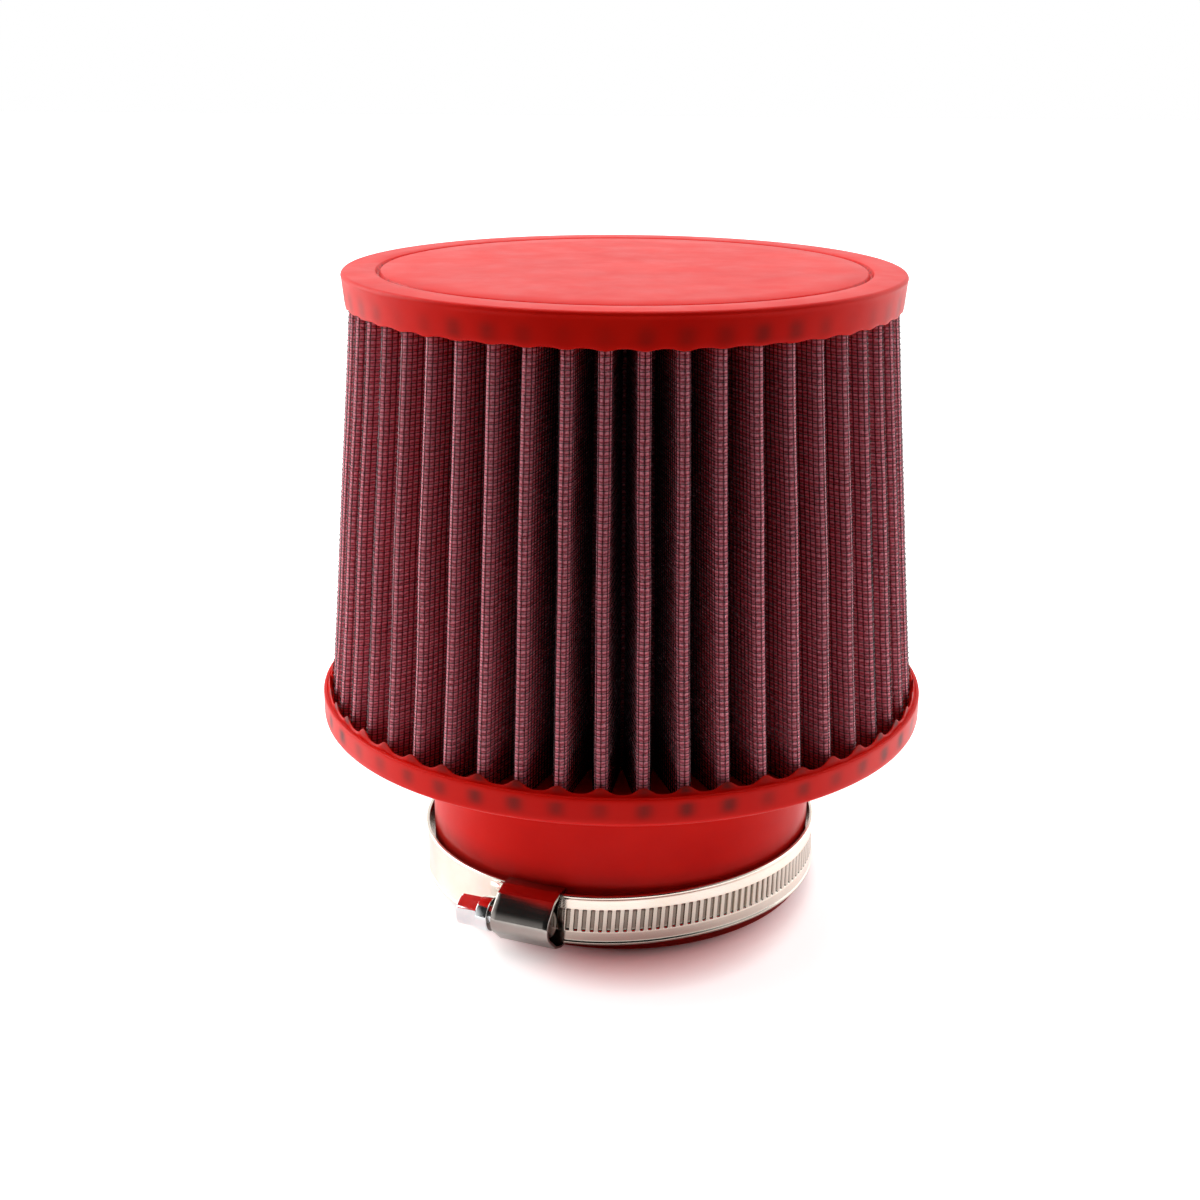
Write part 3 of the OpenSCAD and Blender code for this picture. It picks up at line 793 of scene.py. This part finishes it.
# The band: a half inch strip, loose on the neck, whose threaded end climbs over its fixed end
CLAMP_SLACK = 1
REST_GAP = 0.25
FLOOR_GAP = 0.1
BAND_W = 12.7
MID_W = BAND_W / 2
BAND_T = 0.7
BAND_LIP = 0.2
BAND_CLEAR = 0.1
BAND_IN_R = NECK_R + CLAMP_SLACK
BAND_OUT_R = BAND_IN_R + BAND_T
CLIMB = BAND_T + BAND_LIP + 0.05
SLOT_PITCH = 1.94
SLOT_COUNT = 66
SLOT_LEN = 5.5
SLOT_W = 0.85
SLOT_DEPTH = 0.4

# The screw, along the housing from its head to its worm
WORM_R = 3.3
WORM_CLEAR = 0.15
SCREW_R = BAND_OUT_R + CLIMB + 0.3 + WORM_R
JOURNAL_R = 2.2
JOURNAL_CLEAR = 0.08
HEAD_GAP = 1.1
COLLAR_R = 4.1
COLLAR_H = 3
HEX_AF = 7
HEX_H = 5.4

# The folded housing
HOUSING_LEN = 15
HALF_LEN = HOUSING_LEN / 2
HOUSING_WALL = 0.7
SHOULDER_IN = 1.1
SADDLE_T = 0.7
WAY_OUT_R = BAND_OUT_R + BAND_LIP + CLIMB + BAND_CLEAR
SIDE = MID_W + BAND_CLEAR + HOUSING_WALL

# The clamp's tilt and turn on the neck, and the ends of the strip in degrees to the right of its housing
TIP_FRONT = math.radians(1.5)
TIP_SIDE = math.radians(1.3)
HOUSING_ANGLE = math.radians(23.5)
HALF_HOUSING = math.degrees(math.atan(HALF_LEN / BAND_OUT_R))
TAIL_OUT = 1.4
TAIL_ANGLE = HALF_HOUSING + math.degrees(TAIL_OUT / BAND_OUT_R)
FIXED_END = 360 + HALF_HOUSING - 0.5
CLIMB_END = HALF_HOUSING + 1.5
CLIMB_ARC = 40


def housing_frame():
    """The housing's frame: X out through it, Y along the screw, Z across the band."""
    tip = math.acos(math.cos(TIP_FRONT) * math.cos(TIP_SIDE))
    height = FLOOR_GAP + (BAND_OUT_R + BAND_LIP) * math.sin(tip)
    place = Matrix.Translation((0, REST_GAP - CLAMP_SLACK, height))
    place = place @ Matrix.Rotation(-TIP_SIDE, 4, "Y") @ Matrix.Rotation(-TIP_FRONT, 4, "X")
    return np.array(place @ Matrix.Rotation(-math.pi / 2 - HOUSING_ANGLE, 4, "Z"))


PLACE = housing_frame()


def placed(points):
    """Points of the housing's frame, in the filter's frame, as rows."""
    points = np.asarray(points, float).reshape(-1, 3)
    return points @ PLACE[:3, :3].T + PLACE[:3, 3]


def band_r(a):
    """Radius of the band's inner face at an angle in degrees to the right of the housing."""
    eased = np.clip((a - CLIMB_END) / CLIMB_ARC, 0, 1)
    return BAND_IN_R + CLIMB * (1 + np.cos(math.pi * eased)) / 2


def band_surface(r, angle, w):
    """Points at radii, angles in degrees and places across the band."""
    a = np.radians(angle)
    return np.stack([r * np.cos(a), r * np.sin(a), np.broadcast_to(w, a.shape)], -1)


def band_piece():
    """The band: rolled edges, and thread slots pressed in by the worm's pitch."""
    # Places across the band, from edge to edge, close together at the lips and the slots' ends
    across = [0, 0.06, 0.2, 0.45, 0.7, 0.86, 0.98, 1.3, 2.2, 3.0, 3.35, 3.5, 3.6, 3.72, 3.9, 4.4, 5.2]
    w = np.array(across + [MID_W] + [BAND_W - x for x in reversed(across)])
    edge = np.minimum(w, BAND_W - w)
    lip = BAND_LIP * (1 - smooth(edge, 0.7, 0.98)) - 0.22 * (1 - smooth(edge, 0, 0.3)) ** 2
    # Places along the band: its tail, steps round each slot, and the plain stretch to the fixed end
    tail = np.array([0, 0.08, 0.3])
    steps = np.array([-0.97, -0.66, -0.52, -0.43, -0.34, -0.24, 0, 0.24, 0.34, 0.43, 0.52, 0.66])
    threaded = (np.arange(1, SLOT_COUNT + 1)[:, None] * SLOT_PITCH + steps[None, :]).ravel()
    length = math.radians(FIXED_END + TAIL_ANGLE) * BAND_OUT_R
    plain = np.linspace(threaded[-1] + 0.5, length, 130)
    s = np.concatenate([tail, threaded, plain])
    # The slots slant with the worm's thread, and the steps along the band slant with them
    in_thread = smooth(s, 0.2, 0.9) * (1 - smooth(s, threaded[-1], threaded[-1] + 4))
    slant = SLOT_PITCH / (2 * math.pi * WORM_R)
    along = s[:, None] + (w - MID_W)[None, :] * slant * in_thread[:, None]
    from_slot = np.abs((s[:, None] + SLOT_PITCH / 2) % SLOT_PITCH - SLOT_PITCH / 2)
    has_slots = (s >= threaded[0]) & (s <= threaded[-1] + 0.1)
    from_slot = np.where(has_slots[:, None], from_slot, SLOT_PITCH)
    from_middle = np.abs(w - MID_W)[None, :]
    pressed = 1 - smooth(from_slot, SLOT_W / 2 - 0.085, SLOT_W / 2 + 0.115)
    pressed = pressed * (1 - smooth(from_middle, SLOT_LEN / 2 - 0.2, SLOT_LEN / 2 + 0.1))
    angle = np.degrees(along / BAND_OUT_R) - TAIL_ANGLE
    outer = band_r(angle) + BAND_T + lip[None, :] - SLOT_DEPTH * pressed
    top = band_surface(outer, angle, w)
    w_in = np.array([BAND_W, BAND_W * 0.98, MID_W, BAND_W * 0.02, 0])
    inset = np.array([0.12, 0, 0, 0, 0.12])
    angle_in = np.repeat(np.degrees(s[:, None] / BAND_OUT_R) - TAIL_ANGLE, len(w_in), axis=1)
    under = band_surface(band_r(angle_in) + inset[None, :], angle_in, w_in)
    rows = np.concatenate([top, under], axis=1)
    columns = rows.shape[1]
    faces = [grid(len(s), columns, wrap_columns=True)[:, ::-1]]
    ring = np.arange(columns)
    end = (len(s) - 1) * columns + ring
    faces += [ring[None, :], end[None, ::-1]]
    strip = np.stack(
        [np.broadcast_to(s[:, None], rows.shape[:2]), rows[..., 2], np.zeros(rows.shape[:2])], -1
    )
    # Painted shade: dark in the slots, lighter over the ribs between them, and on the lower strip beside
    # the housing as a painted reflection of the floor's shadow
    zone = (1 - smooth(from_middle, 2.7, 3.1)) * in_thread[:, None]
    below = (1 - smooth(w, 2.9, 3.6))[None, :] * (1 - smooth(s, 60, 110))[:, None]
    painted_shade_on_band = np.maximum(np.maximum(0.85 * pressed, 0.38 * zone), 0.4 * below)
    grime = np.concatenate([painted_shade_on_band, np.zeros(under.shape[:2])], axis=1)
    made = piece(
        "worm_band", placed(rows), faces, BAND,
        attributes=[("strip", strip.reshape(-1, 3)), ("grime", grime.ravel())], sharp=50,
    )
    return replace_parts(made, "clamp_band")


def rounded(points, radius, steps=4):
    """An open line of points with its corners rounded, apart from its two ends."""
    points = [np.array(p, float) for p in points]
    out = [points[0]]
    for before, corner, after in zip(points, points[1:], points[2:]):
        back, ahead = before - corner, after - corner
        back, ahead = back / np.linalg.norm(back), ahead / np.linalg.norm(ahead)
        half = math.acos(np.clip(back @ ahead, -1, 1)) / 2
        cut = radius / math.tan(half)
        start, end = corner + back * cut, corner + ahead * cut
        for t in np.linspace(0, 1, steps + 1):
            out.append((1 - t) ** 2 * start + 2 * t * (1 - t) * corner + t * t * end)
    return np.array(out + [points[-1]])


def housing_line(inset):
    """The housing's section from one side, over shoulder, flank and barrel, to the other side."""
    r = WORM_R + WORM_CLEAR + HOUSING_WALL - inset
    side = SIDE - inset
    shoulder = side - SHOULDER_IN
    corner = SCREW_R + r * math.sqrt(2) - shoulder
    flat = r * math.cos(math.pi / 4)
    low = BAND_IN_R - 0.4
    bend = 0.8 - 0.4 * inset
    half = [(low, side), (WAY_OUT_R + 0.1, side), (corner, shoulder), (SCREW_R + flat, flat)]
    end = rounded(half[::-1], bend)
    start = rounded([(x, -y) for x, y in half], bend)
    barrel = arc((SCREW_R, 0), r, -45, 45, 10)[1:-1]
    return np.vstack([start, barrel, end])


def end_wall():
    """Four rings of points of the end wall that the screw's journal runs in."""
    turn = np.radians(np.arange(0, 360, 10.0))
    line = housing_line(HOUSING_WALL - 0.1) - (SCREW_R, 0)
    farthest = 9.0
    reach = []
    for t in turn:
        ray = (math.cos(t), math.sin(t))
        best = WORM_R - 0.1 if ray[0] < 0 else farthest
        for p, q in zip(line, line[1:]):
            e = q - p
            cross = ray[0] * e[1] - ray[1] * e[0]
            if abs(cross) < 1e-9:
                continue
            far = (p[0] * e[1] - p[1] * e[0]) / cross
            at = (p[0] * ray[1] - p[1] * ray[0]) / cross
            if far > 0 and -0.01 <= at <= 1.01:
                best = min(best, far) if ray[0] >= 0 else min(far, WORM_R / max(-ray[0], 0.05))
        reach.append(best)
    reach = np.array(reach)
    hole = np.full(len(turn), JOURNAL_R + JOURNAL_CLEAR)
    front, back = -HALF_LEN + 0.15, -HALF_LEN + HOUSING_WALL
    return np.array([
        np.column_stack([SCREW_R + r * np.cos(turn), np.full(len(turn), y), MID_W + r * np.sin(turn)])
        for y, r in ((front, hole), (front, reach), (back, reach), (back, hole))
    ])


def housing_piece():
    """The folded housing: an open box of sheet over the worm, closed below by the saddle."""
    line_out = housing_line(0)
    line_in = housing_line(HOUSING_WALL)
    # Places along the screw, each with how far the outer face is drawn in there
    round_end = 0.32
    rows = [(-HALF_LEN, round_end), (-HALF_LEN + 0.1, 0.1), (-HALF_LEN + round_end, 0)]
    rows += [(y, 0) for y in np.linspace(-HALF_LEN + 1.5, HALF_LEN - 1.5, 7)]
    rows += [(HALF_LEN - round_end, 0), (HALF_LEN - 0.08, 0.08), (HALF_LEN, 0.25)]
    saddle_w = np.linspace(SIDE, -SIDE, 9)[1:-1]

    def section(line, y, inset, radius):
        shrunk = line.copy()
        centre = np.array([SCREW_R - 2, 0])
        away = shrunk - centre
        shrunk -= inset * away / np.linalg.norm(away, axis=1, keepdims=True)
        curve = math.sqrt(max(radius**2 - y**2, 0))
        shrunk[0, 0] = shrunk[-1, 0] = curve
        below = np.stack([np.full(len(saddle_w), curve), saddle_w * (SIDE - inset) / SIDE], -1)
        loop = np.vstack([shrunk, below])
        return np.column_stack([loop[:, 0], np.full(len(loop), y), loop[:, 1] + MID_W])

    saddle_top = BAND_IN_R - 0.05
    shell = [section(line_out, y, inset, saddle_top - SADDLE_T) for y, inset in rows]
    shell += [section(line_in, y, 0, saddle_top) for y, _ in reversed(rows)]
    shell = np.array(shell)
    wall = end_wall()
    faces = [grid(*shell.shape[:2], wrap_rows=True, wrap_columns=True)]
    points = shell.reshape(-1, 3)
    faces.append(grid(*wall.shape[:2], wrap_rows=True, wrap_columns=True)[:, ::-1] + len(points))
    points = np.vstack([points, wall.reshape(-1, 3)])
    strip = np.column_stack([points[:, 1], points[:, 0], points[:, 2]])
    made = piece(
        "folded_housing", placed(points), faces, SHEET,
        attributes=[("strip", strip)], sharp=40,
    )
    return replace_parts(made, "clamp_housing")


def screw_rows():
    """The screw's outline along its axis: (place, radius, is it the hexagon)."""
    collar_end = -HALF_LEN - HEAD_GAP
    collar_start = collar_end - COLLAR_H
    hex_start = collar_start - HEX_H
    over_corners = 4.2
    rows = [(hex_start, 2.6, True), (hex_start, 3.35, True), (hex_start + 0.25, 3.75, True)]
    rows += [(hex_start + 0.55, over_corners, True), (collar_start - 0.02, over_corners, True)]
    rows += [(collar_start, COLLAR_R - 0.2, False), (collar_start + 0.15, COLLAR_R - 0.04, False)]
    rows += [(collar_start + 0.4, COLLAR_R, False), (collar_end - 0.4, COLLAR_R, False)]
    rows += [(collar_end - 0.12, COLLAR_R - 0.07, False), (collar_end, COLLAR_R - 0.25, False)]
    rows += [(collar_end, JOURNAL_R, False), (-HALF_LEN + 0.85, JOURNAL_R, False)]
    return rows


def screw_piece():
    """The screw: chamfered hexagon, collar, journal and a worm with a true helical thread."""
    columns = 72
    turn = np.arange(columns) * 2 * math.pi / columns
    sixth = math.pi / 3
    flat = HEX_AF / 2 / np.cos((turn % sixth) - sixth / 2)
    rows = []
    for y, r, is_hex in screw_rows():
        radius = np.minimum(flat, r) if is_hex else np.full(columns, r)
        rows.append((y, radius))
    start, end = -HALF_LEN + 1.0, HALF_LEN - 0.7
    crest, root = WORM_R, WORM_R - 0.62
    rows.append((start, np.full(columns, JOURNAL_R)))
    for y in np.arange(start, end + 0.01, 0.11):
        phase = (y / SLOT_PITCH - turn / (2 * math.pi)) % 1
        tooth = smooth(0.5 - np.abs(phase - 0.5), 0.12, 0.36)
        ease = smooth(y, start, start + 0.5) * (1 - smooth(y, end - 0.6, end))
        rows.append((y, root + (crest - root) * tooth * ease))
    rows.append((end + 0.05, np.full(columns, JOURNAL_R)))
    table = np.array([
        np.column_stack([SCREW_R + r * np.sin(turn), np.full(columns, y), MID_W + r * np.cos(turn)])
        for y, r in rows
    ])
    n = len(table) * columns
    points = np.vstack(
        [table.reshape(-1, 3), [SCREW_R, rows[0][0], MID_W], [SCREW_R, rows[-1][0], MID_W]]
    )
    faces = [grid(len(table), columns, wrap_columns=True)]
    faces += [fan(n, np.arange(columns), flip=True)]
    faces += [fan(n + 1, (len(table) - 1) * columns + np.arange(columns))]
    oiled = smooth(points[:, 1], start - 0.8, start)
    made = piece(
        "worm_screw", placed(points), faces, ZINC, body="worm",
        attributes=[("oiled", oiled)], sharp=30,
    )
    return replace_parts(made, "clamp_screw")


band_piece()
housing_piece()
screw_piece()


# Stage

# The white sheet's front edge, in metres, as the rest of the stage. Reflections are dark beyond it
SHEET_FRONT = -0.28


def floor():
    """A pale floor that stays white for the camera and in reflections, and keeps the shadow, whose reach
    its emission paints, with a pink rim of painted bounce light.
    """
    mesh = bpy.data.meshes.new("floor")
    half = 4.0
    corner_points = [(-half, -half, 0), (half, -half, 0), (half, half, 0), (-half, half, 0)]
    mesh.from_pydata(corner_points, [], [(0, 1, 2, 3)])
    made = bpy.data.objects.new("floor", mesh)
    bpy.context.scene.collection.objects.link(made)
    s = Shader("pale_floor")
    here = s.place()
    beyond = s.span(s.split(here)[1], SHEET_FRONT, SHEET_FRONT + 0.1, 1.0, 0.0)
    # Distance from the neck, over an oval: the emission rises with it, which paints where the filter's
    # shadow ends
    away = s.nodes.new("ShaderNodeVectorMath")
    away.operation = "LENGTH"
    s.join(s.scaled(here, (1.4, 1, 1), (-0.004, 0, 0)), away.inputs[0])
    distance = away.outputs["Value"]
    painted_shadow_fade = s.span(distance, 0.048, 0.069, 0.0, 0.7)
    white = s.maths("ADD", painted_shadow_fade, s.span(distance, 0.1, 0.4, 0.0, 0.3))
    pale = s.ramp(s.noise(here, 3, detail=2), (0.3, (0.86, 0.86, 0.86)), (0.7, (0.88, 0.88, 0.88)))
    s.set("Base Color", s.mix(beyond, pale, (0.04, 0.04, 0.04)))
    s.set("Roughness", s.span(s.noise(here, 40, detail=2), 0.3, 0.7, 0.28, 0.34))
    path = s.nodes.new("ShaderNodeLightPath")
    mirrored = s.maths("MAXIMUM", path.outputs["Is Glossy Ray"], path.outputs["Is Transmission Ray"])
    # Reflections see the same painted shadow, and the floor dimmer to the left: a painted reflection
    # level
    glow = s.maths("MULTIPLY", mirrored, s.span(distance, 0.055, 0.072, 0.0, 1.0))
    glow = s.maths("MULTIPLY", glow, s.span(s.split(here)[0], -0.07, -0.02, 0.25, 0.7))
    glow = s.maths("MULTIPLY", glow, s.span(beyond, 0, 1, 1.0, 0.0))
    seen = s.maths("MULTIPLY", path.outputs["Is Camera Ray"], white)
    # Pink where the emission is weak near the neck: painted red bounce light at the shadow's rim
    s.set("Emission Color", s.ramp(painted_shadow_fade, (0.15, (1.0, 0.5, 0.5)), (0.65, (1.0, 1.0, 1.0))))
    s.set("Emission Strength", s.maths("ADD", seen, glow))
    mesh.materials.append(s.material)


def panel(name, place, target, size, radiance):
    """A soft oblong lamp that the camera doesn't see."""
    data = bpy.data.lights.new(name, "AREA")
    data.shape = "RECTANGLE"
    data.size, data.size_y = size
    data.energy = radiance * math.pi * size[0] * size[1]
    made = bpy.data.objects.new(name, data)
    made.location = place
    made.rotation_euler = (Vector(target) - Vector(place)).to_track_quat("-Z", "Y").to_euler()
    made.visible_camera = False
    bpy.context.scene.collection.objects.link(made)


def lamps():
    """Panels behind at both sides and overhead, and the light that the white sheet throws up."""
    centre = (0, 0, 0.08)
    panel("left_panel", (-0.69, 0.28, 0.36), centre, (0.6, 0.7), 3.4)
    panel("right_panel", (0.69, 0.28, 0.36), centre, (0.6, 0.7), 1.0)
    panel("top_panel", (0, 0.25, 0.95), (0, 0.2, 0.1), (1.0, 0.9), 2.0)
    panel("front_bounce", (0, -0.13, 0.002), (0, -0.13, 1), (0.2, 0.1), 0.55)
    panel("left_bounce", (-0.18, -0.09, 0.002), (-0.18, -0.09, 1), (0.15, 0.22), 1.0)
    panel("right_bounce", (0.18, -0.09, 0.002), (0.18, -0.09, 1), (0.15, 0.22), 1.0)


def world():
    """White behind and round the sides, dark at the front, as in a product tent with an open front."""
    made = bpy.data.worlds.new("studio")
    bpy.context.scene.world = made
    made.use_nodes = True
    nodes, links = made.node_tree.nodes, made.node_tree.links
    path = nodes.new("ShaderNodeLightPath")
    place = nodes.new("ShaderNodeTexCoord")
    split = nodes.new("ShaderNodeSeparateXYZ")
    links.new(place.outputs["Generated"], split.inputs[0])

    def step(axis, start, end, low, high):
        node = nodes.new("ShaderNodeMapRange")
        node.interpolation_type = "SMOOTHSTEP"
        links.new(split.outputs[axis], node.inputs["Value"])
        for label, value in (("From Min", start), ("From Max", end), ("To Min", low), ("To Max", high)):
            node.inputs[label].default_value = value
        return node.outputs["Result"]

    def largest(a, b):
        node = nodes.new("ShaderNodeMath")
        node.operation = "MAXIMUM"
        links.new(a, node.inputs[0])
        links.new(b, node.inputs[1])
        return node.outputs[0]

    walls = largest(step("X", -0.62, -0.92, 0.02, 1.0), step("X", 0.5, 0.95, 0.02, 0.7))
    strength = largest(walls, step("Y", -0.05, 0.35, 0.02, 0.95))
    strength = largest(strength, path.outputs["Is Camera Ray"])
    links.new(strength, nodes["Background"].inputs["Strength"])
    nodes["Background"].inputs["Color"].default_value = (1, 1, 1, 1)


# The camera, fitted to the circles of the cap, flange and neck in the photograph
PHOTO_WIDTH_PX = 1200
AXIS_OFF_CENTRE_PX = 22.16
CAMERA_PLACE = (0, -0.3952, 0.2070)
CAMERA_TILT_DOWN = math.radians(18.92)
CAMERA_ROLL = 0.0076


def camera():
    """The photograph's view, for a square image."""
    data = bpy.data.cameras.new("camera")
    data.lens = 49.78
    data.sensor_width = 36
    data.shift_x = -AXIS_OFF_CENTRE_PX / PHOTO_WIDTH_PX
    data.clip_start = 0.01
    made = bpy.data.objects.new("camera", data)
    made.matrix_world = (
        Matrix.Translation(CAMERA_PLACE)
        @ Matrix.Rotation(math.pi / 2 - CAMERA_TILT_DOWN, 4, "X")
        @ Matrix.Rotation(CAMERA_ROLL, 4, "Z")
    )
    bpy.context.scene.collection.objects.link(made)
    bpy.context.scene.camera = made


floor()
lamps()
world()
camera()
bpy.context.scene.view_settings.view_transform = "Standard"
